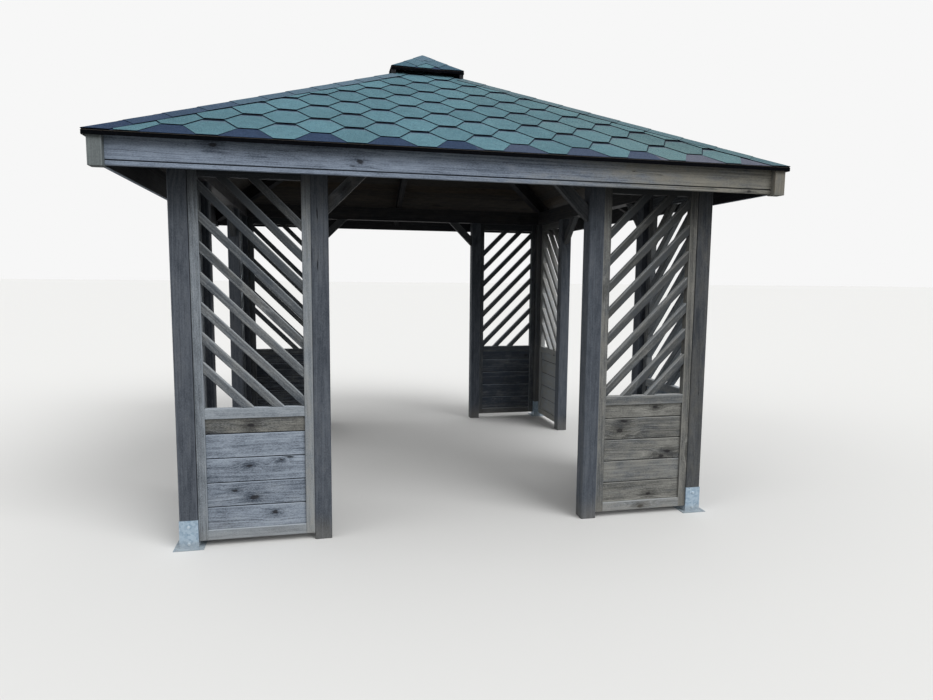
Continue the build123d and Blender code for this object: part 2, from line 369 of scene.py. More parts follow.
# %% The wood material
def wood(name, dark, light, brown, straw, knot_share=0.5, contrast=1.0, eave_shade=0.0):
    """Stained softwood: a dark and a light tone, and the same two for timbers where brown shows.

    Just under the eave the wood is painted darker, as the shade of the roof, by the given share."""
    material, start = new_material(name)
    labels = ("fibre", "middle", "half", "face", "spot", "spot_2")
    fibre, middle, half, face, *spots = (start.attribute(label) for label in labels)
    place = start.node("ShaderNodeNewGeometry", {}, {}, "Position")

    spread = knot_distance(face, spots, knot_share)
    core = 1 - spread.rise(*KNOT_CORE)
    smoke = 1 - spread.rise(*KNOT_SMOKE)
    rings = growth_rings(fibre, 1 - spread.rise(*KNOT_REACH))
    streaks, speckle, patches, mottle = (
        fibre.noise(*noise) for noise in (STREAKS, SPECKLE, PATCHES, MOTTLE))
    patterns = [pattern - 0.5 for pattern in (rings, streaks, speckle, patches, mottle)]
    tone = weighted([*patterns, middle.axis(2)], TONE_SHARES)
    tone = (tone * contrast + 0.5 - smoke * SMOKE_DARKENING).rise(*TONE_ENDS)

    # Warmth is each timber's own tint, plus painted sunlight that grows to the right where a timber asks
    # for it
    warmth = (half.axis(2) + (mottle - 0.5) * 0.7 + (patches - 0.5) * 0.5).rise(0.1, 0.9)
    colour = warmth.blend(tone.blend(dark, light), tone.blend(brown, straw))
    # The light tone, used for the painted highlights
    highlight_colour = warmth.blend(light, straw)
    colour = (core * 0.85).blend(colour, KNOT_COLOUR)

    crack = cracks(fibre, patches)
    upper_edge_highlight, darker_lower_edge, inside = edge_light_and_shade(half, middle, streaks)
    end_grain = face.axis(2)
    # Painted shade on the cut sides inside joints, though not on end grain
    joint_shade = inside * (1 - end_grain)
    # Painted highlight: the upper edge and every side that looks up are painted lighter, as if lit from
    # above
    top_light = start.node("ShaderNodeNewGeometry", {}, {}, "Normal").axis(2).rise(*TOP_LIGHT_NORMALS)
    colour = (upper_edge_highlight * 0.55).blend(colour, highlight_colour)
    colour = (top_light * 0.9).blend(colour, highlight_colour * TOP_HIGHLIGHT_GAIN)
    # Cracks, end grain and the darker lower edge belong to the wood; inside joints the darkening is
    # painted shade
    dark_places = weighted((crack, darker_lower_edge, end_grain, joint_shade), DARK_SHARES)
    colour = dark_places.rise(0.0, 1.0).blend(colour, CRACK_AND_SHADE_COLOUR)
    # Painted shade: towards the top, under the eave, the wood is painted darker
    height_here = place.axis(2) + (patches - 0.5) * 0.12
    colour = (height_here.rise(*PAINTED_EAVE_SHADE_HEIGHTS) * eave_shade).blend(colour, CRACK_AND_SHADE_COLOUR)
    low = 1 - height_here.rise(0.0, SPLASH_HEIGHT)
    colour = (low * 0.22).blend(colour, DUST_COLOUR)

    rough = 0.74 - tone * 0.12 + low * 0.1
    height = weighted((rings, streaks, speckle, crack, core), BUMP_SHARES)
    close_material(start, height, WOOD_BUMP, {
        "Base Color": colour, "Roughness": rough, "Specular IOR Level": 0.15})
    return material


print("each wood reads six attributes of its timber")


# %% Painted shade on the eave edge
# Nearly black colours that paint the shade under the shingle edge onto the boards' eave edge
EAVE_SHADE_COLOUR = paint(4, 5, 8)
EAVE_SHADE_COLOUR_LIGHTER = paint(12, 13, 17)


def tarred_edge():
    """The eave edge of the roof boards, painted nearly black as the shade under the shingle edge."""
    material, start = new_material("tarred_edge")
    place = start.node("ShaderNodeTexCoord", {}, {}, "Object")
    fluff = place.noise((60, 60, 60), 4.0, 0.6)
    colour = fluff.rise(0.3, 0.8).blend(EAVE_SHADE_COLOUR, EAVE_SHADE_COLOUR_LIGHTER)
    close_material(start, fluff, 0.0008, {
        "Base Color": colour, "Roughness": 0.88, "Specular IOR Level": 0.03})
    return material


EAVE_EDGE_SHADE = tarred_edge()
print("the eave edge is", EAVE_EDGE_SHADE.name)

# %% Stains
# Dark and light tone, dark and light tone where brown shows, share of knots, contrast and painted eave
# shade
STAINS = {
    "post": ((40, 46, 55), (104, 110, 119), (54, 54, 53), (104, 104, 101), 0.4, 0.8, 0.28),
    "brace": ((40, 43, 48), (98, 102, 107), (54, 51, 47), (96, 91, 83), 0.4, 0.8),
    # The beams are stained dark, partly as painted shade under the roof
    "beam": ((18, 19, 22), (60, 62, 67), (32, 28, 25), (66, 60, 52), 0.4, 0.8),
    "fascia": ((49, 58, 72), (148, 161, 179), (72, 72, 70), (142, 140, 131), 0.5, 1.0),
    "block": ((78, 84, 86), (130, 137, 138), (100, 95, 86), (140, 130, 112), 0.1, 0.7),
    "frame": ((68, 74, 81), (156, 164, 172), (76, 76, 73), (150, 149, 144), 0.3, 1.05, 0.7),
    "board": ((54, 62, 74), (160, 171, 185), (68, 68, 66), (150, 150, 145), 0.4, 1.15),
    # The roof boards are stained dark, partly as painted shade under the roof
    "deck": ((20, 20, 22), (60, 58, 56), (40, 34, 29), (72, 62, 50), 0.4, 0.9),
    # The tongues are nearly black, as painted shade in the gaps between boards
    "tongue": ((10, 11, 14), (24, 26, 30), (18, 17, 16), (28, 26, 24), 0.1, 0.9)}
WOODS = {name: wood(f"{name}_wood", *(paint(*tint) for tint in stain[:4]), *stain[4:])
         for name, stain in STAINS.items()}
print("woods:", ", ".join(WOODS))

# %% [markdown]
# ## Gathering small meshes into one piece
# A wall panel is nineteen timbers with four tongues behind them, and a roof slope almost ninety shingle
# tabs. As separate objects they would crowd the outliner, and one joined mesh draws faster. So each
# small closed mesh is added to a pile with its attributes, and the pile becomes one object that rides
# on the frame in place of the plain solid.


# %% The pile
class Pile:
    """Gathers small closed meshes with their attributes, then becomes one object."""

    def __init__(self):
        self.points = []
        self.faces = []
        self.slots = []
        self.values = {}

    def add(self, points, faces, on_points, on_corners=None, slots=None, flip=False):
        """Add one small mesh. Attribute values are vectors, one to a point or to a face's corner."""
        first = len(self.points)
        self.points.extend(tuple(point) for point in points)
        step = -1 if flip else 1
        self.faces.extend([first + corner for corner in face][::step] for face in faces)
        self.slots.extend(slots or [0] * len(faces))
        for label, rows in on_points.items():
            self.values.setdefault((label, "POINT"), []).extend(rows)
        for label, rings in (on_corners or {}).items():
            flat = [row for ring in rings for row in ring[::step]]
            self.values.setdefault((label, "CORNER"), []).extend(flat)

    def make(self, name, materials, slot, stands_for=()):
        """Build the object, hang it on the frame and hide the nodes that it stands for."""
        mesh = bpy.data.meshes.new(name)
        mesh.from_pydata(self.points, [], self.faces)
        for material in materials:
            mesh.materials.append(material)
        mesh.polygons.foreach_set("material_index", self.slots)
        for (label, domain), rows in self.values.items():
            layer = mesh.attributes.new(label, "FLOAT_VECTOR", domain)
            layer.data.foreach_set("vector", np.array(rows, np.float32).ravel())
        mesh.update()
        made = bpy.data.objects.new(name, mesh)
        bpy.context.scene.collection.objects.link(made)
        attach(made, "root")
        if stands_for:
            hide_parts(*stands_for)
        return made


print("the pile keeps points, faces, material slots and attributes")

# %% [markdown]
# ## Sawing a timber
# A real timber is sawn to an outline and then its sharp edges, the arrises, are eased with a plane. A
# Bevel modifier could ease them after joining, but the wood pattern has to know each timber's own axes,
# so the bevel is made in bmesh while the timber still lies along X. Then the attributes are written:
# where a point is in the log, how far it is from the timber's middle, and how far along and across its
# own face it lies.


# %% Cutting an outline and easing its edges
SHARP_ANGLE = math.radians(20)


def eased(mesh, ease):
    """Bevel the sharp edges of a small mesh and read back its points and faces."""
    mesh.normal_update()
    edges = [edge for edge in mesh.edges if edge.is_manifold and edge.calc_face_angle() > SHARP_ANGLE]
    bmesh.ops.bevel(mesh, geom=edges, offset=ease, segments=2, profile=0.6,
                    affect="EDGES", clamp_overlap=True)
    mesh.verts.index_update()
    points = [vert.co.copy() for vert in mesh.verts]
    faces = [[vert.index for vert in face.verts] for face in mesh.faces]
    mesh.free()
    return points, faces


def plate(bottom, top):
    """A closed solid between two outlines with as many points. Its last faces are the sides."""
    count = len(bottom)
    faces = [list(range(count))[::-1], [count + number for number in range(count)]]
    for number in range(count):
        after = (number + 1) % count
        faces.append([number, after, count + after, count + number])
    return list(bottom) + list(top), faces


def eased_plate(bottom, top, ease):
    """A plate between two outlines, with its sharp edges bevelled."""
    mesh = bmesh.new()
    points, faces = plate(bottom, top)
    verts = [mesh.verts.new(point) for point in points]
    for face in faces:
        mesh.faces.new([verts[corner] for corner in face])
    return eased(mesh, ease)


def sawn(outline, depth, ease):
    """A flat outline in X and Y, thickened along Z and eased."""
    bottom = [(x, y, -depth / 2) for x, y in outline]
    top = [(x, y, depth / 2) for x, y in outline]
    return eased_plate(bottom, top, ease)


def bar(length, width, depth, ease):
    """A plain rectangular timber along X."""
    x, y = length / 2, width / 2
    return sawn([(-x, -y), (x, -y), (x, y), (-x, y)], depth, ease)


print("faces of an eased bar:", len(bar(1.0, 0.1, 0.05, 0.003)[1]))


# %% Noting how a timber was cut from its log
LOG_SHIFT = 40.0
FACE_SHIFT = 7.3
HEART_SPREAD = 0.9
HEART_DEPTHS = (0.010, 0.060)
GRAIN_TILT = 0.02
# The axes along and over a face that looks along X, Y or Z
FACE_AXES = ((2, 1), (0, 2), (0, 1))


def add_timber(pile, solid, place, luck, warmth=0.3, tone=None, heart=1.0, knots=(), flip=False,
               browner=0.0):
    """Put a timber that lies along X in its place, with the attributes that the wood reads.

    Heart says how far off the log's middle lies. Knots are chosen places along and across the widest
    face, each with a size. The last argument is how much the warmth rises from left to right, for each
    metre, as painted sunlight from the right."""
    points, faces = solid
    (low_y, high_y), (low_z, high_z) = (
        (min(point[axis] for point in points), max(point[axis] for point in points)) for axis in (1, 2))
    half_y, half_z = (high_y - low_y) / 2, (high_z - low_z) / 2
    mid_y, mid_z = (high_y + low_y) / 2, (high_z + low_z) / 2
    shift = luck.uniform(0, LOG_SHIFT)
    heart_y = luck.uniform(-HEART_SPREAD, HEART_SPREAD) * half_y
    heart_z = luck.choice((-1, 1)) * (half_z + luck.uniform(*HEART_DEPTHS)) * heart
    tilt = luck.uniform(-GRAIN_TILT, GRAIN_TILT)
    scattered_tone = luck.uniform(-1, 1)
    tone = scattered_tone if tone is None else tone
    fibre = [(p.x + shift, p.y - mid_y - heart_y - tilt * p.x, p.z - mid_z - heart_z) for p in points]
    middle = [(p.y - mid_y, p.z - mid_z, tone) for p in points]
    half = [(half_y, half_z, warmth + browner * (place @ p).x) for p in points]
    spots, spots_2 = ([(p.x - x, p.y - y, size) for p in points]
                      for x, y, size in ([*knots] + [(0.0, 0.0, 0.0)] * 2)[:2])
    rings = []
    for face in faces:
        corners = [points[number] for number in face]
        normal = (corners[1] - corners[0]).cross(corners[2] - corners[1])
        sizes = [abs(part) for part in normal]
        facing = sizes.index(max(sizes))
        side = shift + FACE_SHIFT * (facing + 3 * (normal[facing] > 0))
        along, over = FACE_AXES[facing]
        rings.append([(p[along] + side, p[over] + side * 3, float(facing == 0)) for p in corners])
    placed = [place @ point for point in points]
    rows = {"fibre": fibre, "middle": middle, "half": half, "spot": spots, "spot_2": spots_2}
    pile.add(placed, faces, rows, {"face": rings}, flip=flip)


print("timbers carry fibre, middle, half, face and two spots")

# %% [markdown]
# ## Timbers whose shape is already right
# Posts, beams, braces, rafters and fascia boards are exact in the frame: laps, notches and mitres are
# all cut. Only their edges are too sharp and they have no grain. They could be modelled again, but it is
# safer to take a copy of the frame's own mesh: triangles are merged back into flat faces, loose solids
# are told apart, the longest edge gives the way of the grain and the widest face the flat of the timber.
# Two kinds of face then get another material as painted shade: the eave edges of the roof boards,
# painted nearly black as the shade under the shingles, and the inner sides of the fascia boards, painted
# as dark as the beams as the shade under the roof.


# %% Loose solids
def loose_parts(node):
    """Split a node into its separate solids, each as a clean bmesh."""
    whole = bmesh.new()
    whole.from_mesh(frame["nodes"][node].data)
    bmesh.ops.remove_doubles(whole, verts=whole.verts, dist=1e-5)
    bmesh.ops.dissolve_limit(whole, angle_limit=math.radians(1), verts=whole.verts, edges=whole.edges)
    seen = set()
    for first in whole.verts:
        if first in seen:
            continue
        seen.add(first)
        group = [first]
        for vert in group:
            for edge in vert.link_edges:
                other = edge.other_vert(vert)
                if other not in seen:
                    seen.add(other)
                    group.append(other)
        part = bmesh.new()
        copies = {vert: part.verts.new(vert.co) for vert in group}
        for face in whole.faces:
            if face.verts[0] in copies:
                part.faces.new([copies[vert] for vert in face.verts])
        yield part
    whole.free()


print("solids in the front braces:", len([*loose_parts("braces_front")]))


# %% The axes of a timber
def laid(origin, along, across):
    """A matrix that lays a timber's X along one way and its Y along another."""
    place = Matrix((along, across, along.cross(across))).transposed().to_4x4()
    place.translation = origin
    return place


def timber_axes(part):
    """A matrix whose X is the way of the grain, whose Z faces the widest face and whose Y points up."""
    edge = max(part.edges, key=lambda one: round(one.calc_length(), 5))
    along = (edge.verts[1].co - edge.verts[0].co).normalized()
    part.normal_update()
    flat = [face for face in part.faces if abs(face.normal.dot(along)) < 0.1]
    widest = max(flat, key=lambda one: round(one.calc_area(), 5))
    deep = (widest.normal - along * widest.normal.dot(along)).normalized()
    if deep.cross(along).z < -0.01:
        along = -along
    place = laid(Vector(), along, deep.cross(along))
    place.translation = sum((vert.co for vert in part.verts), Vector()) / len(part.verts)
    return place


def on_face(place, knots):
    """World places of knots, with a size, turned into a timber's own measures."""
    back = place.inverted()
    for x, y, z, size in knots:
        local = back @ Vector((x, y, z))
        yield local.x, local.y, size


brace = next(loose_parts("braces_front"))
print("a front brace runs along", [round(part, 2) for part in timber_axes(brace).col[0][:3]])


# %% Grain on a node
def dress_node(node, finish, slot, ease, warmth=0.3, heart=1.0, tone=None, knots=(), browner=0.0):
    """Replace a node by a copy with eased edges and grain."""
    pile = Pile()
    luck = random.Random(node)
    for part in loose_parts(node):
        place = timber_axes(part)
        bmesh.ops.transform(part, matrix=place.inverted(), verts=part.verts)
        solid = eased(part, ease)
        add_timber(pile, solid, place, luck, warmth, tone, heart, on_face(place, knots), browner=browner)
    return pile.make(f"{node}_timber", [WOODS[finish]], slot, [node])


print("a dressed node is one object on the body root")

# %% Faces with a second material
EDGE_REACH = 0.002
PLUMB_NORMAL = 0.6
INWARD = -0.5


def shade_plumb_edges(piece, half):
    """Give the plumb faces that lie at a plan distance the painted shade of the eave edge."""
    piece.data.materials.append(EAVE_EDGE_SHADE)
    for face in piece.data.polygons:
        reach = max(abs(face.center.x), abs(face.center.y))
        if abs(face.normal.z) < PLUMB_NORMAL and reach > half - EDGE_REACH:
            face.material_index = 1


def paint_inner_side_shade(piece):
    """Give the faces that look in under the roof the darker wood of the beams, as painted shade."""
    piece.data.materials.append(WOODS["beam"])
    for face in piece.data.polygons:
        if face.center.xy.dot(face.normal.xy) < INWARD:
            face.material_index = 1


print("second materials:", EAVE_EDGE_SHADE.name, "and", WOODS["beam"].name)

# %% Dressing the frame's own timbers
EASE = 0.002
# How much warmer the corner blocks and the front fascia are painted for each metre to the right, as
# sunlit
BLOCK_WARM_LIGHT = 0.25
FASCIA_WARM_LIGHT = 0.42
# A place in the world and a size for each of the two knots in the front board
FASCIA_KNOTS = ((-1.246, -1.69, 2.014, 1.0), (-0.576, -1.69, 1.972, 1.1))
for corner in CORNERS:
    # The right corner posts are painted warmer than the left ones, as sunlit from the right
    painted_post_warmth = 0.1 if corner.endswith("left") else 0.55
    dress_node(f"corner_post_{corner}", "post", "post_timber", EASE / 2, painted_post_warmth, 0.3)
for side in SIDES:
    dress_node(f"door_posts_{side}", "post", "post_timber", EASE / 2, 0.15, 0.3)
    dress_node(f"ring_beam_{side}", "beam", "beam_timber", EASE)
    dress_node(f"braces_{side}", "brace", "beam_timber", EASE)
    extras = {"knots": FASCIA_KNOTS, "browner": FASCIA_WARM_LIGHT} if side == "front" else {}
    paint_inner_side_shade(dress_node(f"fascia_{side}", "fascia", "fascia_timber", EASE, 0.2, **extras))
for node in ("roof_hub", "hip_rafters", "common_rafters", "cupola_legs"):
    dress_node(node, "beam", "beam_timber", EASE)
dress_node("corner_blocks", "block", "fascia_timber", EASE, 0.1, browner=BLOCK_WARM_LIGHT)
cupola_deck = dress_node("cupola_deck", "deck", "deck_timber", EASE)
shade_plumb_edges(cupola_deck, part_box("cupola_deck")[1].x)
print("timbers dressed from the frame:", sum(1 for one in bpy.data.objects if "_timber" in one.name))

# %% [markdown]
# ## Wall panels
# In the frame each panel is one fused solid. The real one is put together from two stiles, three rails,
# five boards and nine slanting slats, and what the eye reads is the joints between them: thin dark lines
# where eased edges meet, and a narrow gap between two boards with a tongue behind it. So the panel is
# sawn again timber by timber from the same sizes. All eight are the front left panel, turned about the
# roof's centre line or mirrored, each from its own logs.

# %% Sizes of a panel
panel_low, panel_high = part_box("panel_front_left")
STILE = 0.046
RAIL = 0.053
TOP_RAIL = 0.064
BOARD_THICKNESS = 0.018
BOARD_SEAMS = (0.208, 0.338, 0.468, 0.598)
SEAM_GAP = 0.0025
TONGUE_REACH = 0.006
SLAT_WIDTH = 0.040
SLAT_DEPTH = 0.034
SLATS = 9
LOWEST_SLAT_TOP = 0.977
HIGHEST_SLAT_TOP = 2.203
FRAME_DEPTH = panel_high.y - panel_low.y
panel_middle = (panel_low.y + panel_high.y) / 2
field_left = panel_low.x + STILE
field_right = panel_high.x - STILE
board_bottom = panel_low.z + RAIL
board_top = 0.680
slat_bottom = board_top + RAIL
slat_top = panel_high.z - TOP_RAIL
print("clear width between the stiles:", round(field_right - field_left, 3))


# %% Cutting an outline along straight lines
def cut(outline, a, b, limit):
    """Keep the part of a flat outline where a*x + b*y is at most limit."""
    kept = []
    for number, here in enumerate(outline):
        before = outline[number - 1]
        over_here = a * here[0] + b * here[1] - limit
        over_before = a * before[0] + b * before[1] - limit
        if (over_here > 0) != (over_before > 0):
            share = over_before / (over_before - over_here)
            kept.append(tuple(p + (q - p) * share for p, q in zip(before, here)))
        if over_here <= 0:
            kept.append(here)
    return kept


print("a square cut across its corner:", cut([(0, 0), (1, 0), (1, 1), (0, 1)], 1, 1, 1))


# %% Timbers of a panel
UP = Vector((0, 0, 1))
RIGHT = Vector((1, 0, 0))


def member(x_from, x_to, z_from, z_to, depth, grain=RIGHT, ease=EASE):
    """A straight timber with its grain level or upright, and its place in the panel."""
    origin = Vector(((x_from + x_to) / 2, panel_middle, (z_from + z_to) / 2))
    sides = (x_to - x_from, z_to - z_from)
    if grain == UP:
        return bar(*sides[::-1], depth, ease), laid(origin, UP, RIGHT)
    return bar(*sides, depth, ease), laid(origin, RIGHT, UP)


def slats():
    """The slanting slats, trimmed to the field between the stiles and rails."""
    width = field_right - field_left
    drop = SLAT_WIDTH * math.sqrt(2)
    along = Vector((1, 0, -1)).normalized()
    across = Vector((1, 0, 1)).normalized()
    for number in range(SLATS):
        top = LOWEST_SLAT_TOP + (HIGHEST_SLAT_TOP - LOWEST_SLAT_TOP) * number / (SLATS - 1)
        outline = [(field_left, top - drop), (field_right, top - drop - width)]
        outline += [(field_right, top - width), (field_left, top)]
        outline = cut(cut(outline, 0, 1, slat_top), 0, -1, -slat_bottom)
        origin = Vector((field_left, panel_middle, top))
        turned = [Vector((x, panel_middle, z)) - origin for x, z in outline]
        flat = [(point.dot(along), point.dot(across)) for point in turned]
        yield sawn(flat, SLAT_DEPTH, EASE), laid(origin, along, across)


def panel_timbers():
    """Every timber of the front left panel with its place and the number of its finish."""
    low, high = panel_low, panel_high
    for x_from, x_to in ((low.x, field_left), (field_right, high.x)):
        yield *member(x_from, x_to, low.z, high.z, FRAME_DEPTH, UP), 0
    for z_from, z_to in ((low.z, board_bottom), (board_top, slat_bottom), (slat_top, high.z)):
        yield *member(field_left, field_right, z_from, z_to, FRAME_DEPTH), 0
    edges = (board_bottom, *BOARD_SEAMS, board_top)
    for z_from, z_to in zip(edges, edges[1:]):
        low_gap = SEAM_GAP if z_from in BOARD_SEAMS else 0.0
        high_gap = SEAM_GAP if z_to in BOARD_SEAMS else 0.0
        yield *member(field_left, field_right, z_from + low_gap, z_to - high_gap, BOARD_THICKNESS), 1
    for solid, place in slats():
        yield solid, place, 0
    for seam in BOARD_SEAMS:
        foot, head = seam - TONGUE_REACH, seam + TONGUE_REACH
        yield *member(field_left, field_right, foot, head, BOARD_THICKNESS / 2, ease=EASE / 4), 2


print("pieces of wood in a panel:", len([*panel_timbers()]))

# %% Eight panels, their own tones and painted light and shade
MIRROR = Matrix.Scale(-1, 4, RIGHT)
# Quarter turns from the front left panel, and whether it is mirrored first
PANELS = {
    "front_left": (0, False), "right_front": (1, False),
    "rear_right": (2, False), "left_rear": (3, False),
    "front_right": (0, True), "right_rear": (1, True),
    "rear_left": (2, True), "left_front": (3, True)}
TIMBERS = 10 + SLATS
# A tone and a warmth for each timber: stiles, rails and boards from below, then the slats. The top
# rails, and the slats the more the higher they lie, are painted darker as the shade under the eave, and
# the front right panel is painted warmer than the front left one, as sunlit from the right.
TONES = {
    "front_left": [
        (0.0, 0.15), (1.0, 0.4), (0.9, 0.15), (1.0, 0.1), (-2.6, 0.3),
        (0.9, 0.15), (0.1, 0.15), (0.0, 0.0), (0.6, 0.1), (-0.7, 0.75),
        *((-0.7 - 0.25 * number, 0.4) for number in range(SLATS))],
    "front_right": [
        (-1.0, 0.7), (-0.7, 0.65), (0.7, 0.5), (-0.2, 0.6), (-2.8, 0.6),
        (-0.3, 0.8), (0.2, 0.75), (0.0, 0.8), (-0.7, 0.75), (0.0, 0.9),
        *((-1.9 - 0.2 * number, 0.55) for number in range(SLATS))],
    # The rear panels are painted darker as the shade under the roof, and the right rear one lighter, as
    # lit through the open left side
    "rear_right": [(-2.4, 0.35)] * TIMBERS,
    "rear_left": [(-1.6, 0.4)] * TIMBERS,
    "right_rear": [(2.6, 0.6)] * TIMBERS}
# Knots by the number of their timber, each with its place across and up and its size
PANEL_KNOTS = {
    "front_left": {5: [(-1.024, 0.161, 1.0)], 6: [(-1.124, 0.251, 1.3)], 9: [(-1.135, 0.640, 1.0)],
                   7: [(-1.145, 0.421, 0.7), (-0.987, 0.445, 0.6)]},
    "front_right": {2: [(-1.107, 0.053, 1.0)], 5: [(-1.163, 0.126, 1.0)], 7: [(-1.24, 0.353, 1.1)],
                    8: [(-0.987, 0.58, 1.0)], 9: [(-1.186, 0.658, 0.9)]}}
print("panels with chosen tones:", ", ".join(TONES))

# %% Building the panels
for name, (quarters, mirrored) in PANELS.items():
    luck = random.Random(f"panel {name}")
    tones = TONES.get(name, [])
    turn = Matrix.Rotation(math.radians(90) * quarters, 4, "Z")
    if mirrored:
        turn = turn @ MIRROR
    pile = Pile()
    for number, (solid, place, finish) in enumerate(panel_timbers()):
        tone, warmth = tones[number] if number < len(tones) else (None, luck.uniform(0.1, 0.6))
        spots = [(x, 0, z, size) for x, z, size in PANEL_KNOTS.get(name, {}).get(number, [])]
        knots = on_face(place, spots)
        before = len(pile.faces)
        add_timber(pile, solid, turn @ place, luck, warmth, tone, knots=knots, flip=mirrored)
        pile.slots[before:] = [finish] * (len(pile.faces) - before)
    finishes = [WOODS["frame"], WOODS["board"], WOODS["tongue"]]
    pile.make(f"panel_{name}_timber", finishes, "panel_timber", [f"panel_{name}"])
print("panels built:", len(PANELS))

# %% [markdown]
# ## Drawing on a roof slope
# Boards, shingles and caps all lie on sloping planes that meet at the hips. Modelling on a tilted plane
# is awkward in world axes, so a small class keeps a slope's half width, pitch and eave height, and turns
# a place given as across, up the slope and off the slope into a world point. The cupola is roofed by
# the same class with smaller numbers.


# %% Slopes
class Slope:
    """One side of a square hipped roof, measured from its eave."""

    def __init__(self, half, pitch, eave_z, quarters):
        self.half = half
        self.run = math.cos(math.radians(pitch))
        self.climb = math.sin(math.radians(pitch))
        self.eave_z = eave_z
        self.turn = Matrix.Rotation(math.radians(90) * quarters, 4, "Z")

    def point(self, across, up, off):
        """The world point at a distance across, up the slope and off its lower face."""
        y = -self.half + up * self.run - off * self.climb
        return self.turn @ Vector((across, y, self.eave_z + up * self.climb + off * self.run))

    def plumb_up(self, off):
        """How far up the slope a point at this height lies when it is plumb over the eave."""
        return off * self.climb / self.run

    def up_at(self, plan, off):
        """The distance up the slope where a layer passes over a plan distance from the centre."""
        return (self.half - plan + off * self.climb) / self.run

    def trim(self, outline, off, top):
        """Trim an outline of (across, up) to the hips on both sides and to a top line."""
        reach = self.half + off * self.climb
        outline = cut(outline, 1, self.run, reach)
        outline = cut(outline, -1, self.run, reach)
        return cut(outline, 0, 1, top)


ROOF_PITCH = 27.35
CUPOLA_PITCH = 33.0
deck_low, deck_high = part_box("deck_front")
roof_half = -deck_low.y
hub_opening = -deck_high.y
slopes = [Slope(roof_half, ROOF_PITCH, deck_low.z, quarters) for quarters in range(4)]
print("length of a slope up to the hub:", round(slopes[0].up_at(hub_opening, 0), 3))


# %% [markdown]
# ## Roof boards
# Under the shingles lie planed boards, parallel to the eave and mitred at the hips. From below the open
# roof shows them, with a fine V where two boards meet, and from the front their lowest edge is the dark
# band under the shingles, painted nearly black as the shade there. Each one is a plate between its
# outline on the lower face and on the upper face, because at the eave the edge is cut plumb.

# %% Boards
DECK_THICKNESS = 0.018
BOARD_COVER = 0.096
V_JOINT = 0.002


def deck_board(slope, start, stop):
    """One roof board in slope measures, as four corners below and four above."""
    rims = []
    for off in (0, DECK_THICKNESS):
        first = max(start, slope.plumb_up(off))
        reach = slope.half + off * slope.climb
        low, high = reach - first * slope.run, reach - stop * slope.run
        rims.append([(-low, first, off), (low, first, off), (high, stop, off), (-high, stop, off)])
    return rims


for quarters, side in enumerate(SIDES):
    slope = slopes[quarters]
    luck = random.Random(f"deck {side}")
    pile = Pile()
    end = slope.up_at(hub_opening, 0)
    count = math.ceil(end / BOARD_COVER)
    origin = slope.point(0, 0, 0)
    place = laid(origin, slope.point(1, 0, 0) - origin, slope.point(0, 1, 0) - origin)
    for number in range(count):
        start, stop = number * BOARD_COVER, min((number + 1) * BOARD_COVER, end)
        solid = eased_plate(*deck_board(slope, start, stop), V_JOINT)
        add_timber(pile, solid, place, luck, luck.uniform(0.1, 0.6))
    boards = pile.make(f"deck_{side}_boards", [WOODS["deck"]], "deck_timber", [f"deck_{side}"])
    shade_plumb_edges(boards, roof_half)
print("boards on each slope:", count)

# %% [markdown]
# ## Mineral granules
# The shingles are bitumen felt with crushed slate pressed into it. From a few metres it reads as one
# teal, but close up it is a crowd of grains in four or five colours. Below the lower edge of the tab
# above lies a nearly black line, partly the factory's print and partly painted shadow of that edge, and
# a thinner line of painted shadow runs along the tab's slanted edges. Then a mauve-grey shade printed
# by the factory fades downwards, so that flat felt looks thick. The grains are Voronoi cells whose
# random value picks a colour from a ramp, so the mean colour is right at any distance. Two attributes
# steer them. One tells each grain where it lies on its tab and how mauve its strip is, the other a
# plate's share of slate, its level and how much warmer it is than its neighbours. The warmth towards
# the right, and the starter strips' mauve there, are painted sunlight from the right.

# %% Measures of the granules
GRAIN_SIZE = 0.0016
STRIP_LENGTH = 1.0
TAB_COURSE = 0.136
TAB_BOTTOM = 0.094
TAB_PITCH = 0.3369
TAB_FLARE = 0.0745
# Widths of the dark line under a tab's lower edge, print and painted shadow, and of the printed mauve
# shade
PRINT_AND_SHADOW_LINE = 0.026
PRINTED_SHADE = 0.055
SOFT_EDGE = 0.003
CLOUDS = ((3.1, 3.1, 3.1), 3.0, 0.6)
FINE_MOTTLE = ((19, 19, 19), 2.0, 0.5)
# The tint of the painted warm sunlight
WARM_TINT = (1.2, 0.96, 0.82, 1.0)
GRAIN_LEVEL = 1.05
LEVEL_SWING = 0.35
LEVEL_STEP = 0.09
WARM_ENDS = (0.45, 1.35)
# Ramps of grains for teal, slate, mauve and the nearly black line of print and painted shadow
GRAIN_RAMPS = [
    [(0.0, (54, 88, 101)), (0.20, (78, 115, 127)), (0.55, (91, 128, 137)), (0.78, (108, 135, 143)),
     (0.92, (47, 71, 87))],
    [(0.0, (26, 38, 60)), (0.25, (39, 55, 80)), (0.60, (51, 69, 94)), (0.85, (70, 82, 104)),
     (0.95, (30, 42, 64))],
    [(0.0, (72, 84, 102)), (0.25, (92, 104, 120)), (0.60, (104, 114, 130)), (0.85, (116, 122, 136)),
     (0.95, (70, 80, 98))],
    [(0.0, (6, 14, 28)), (0.30, (10, 20, 36)), (0.70, (16, 28, 46)), (0.90, (28, 40, 58)),
     (0.97, (46, 58, 76))]]
print("grains to a metre:", round(1 / GRAIN_SIZE))


# %% The dark line of print and painted shadow, and the printed shade
RAGGED_LINE = 0.008
# The painted shadow along the slanted edges of the tab above
FLANK_SHADOW = (0.004, 0.010)
FLANK_SHADOW_STRENGTH = 0.8


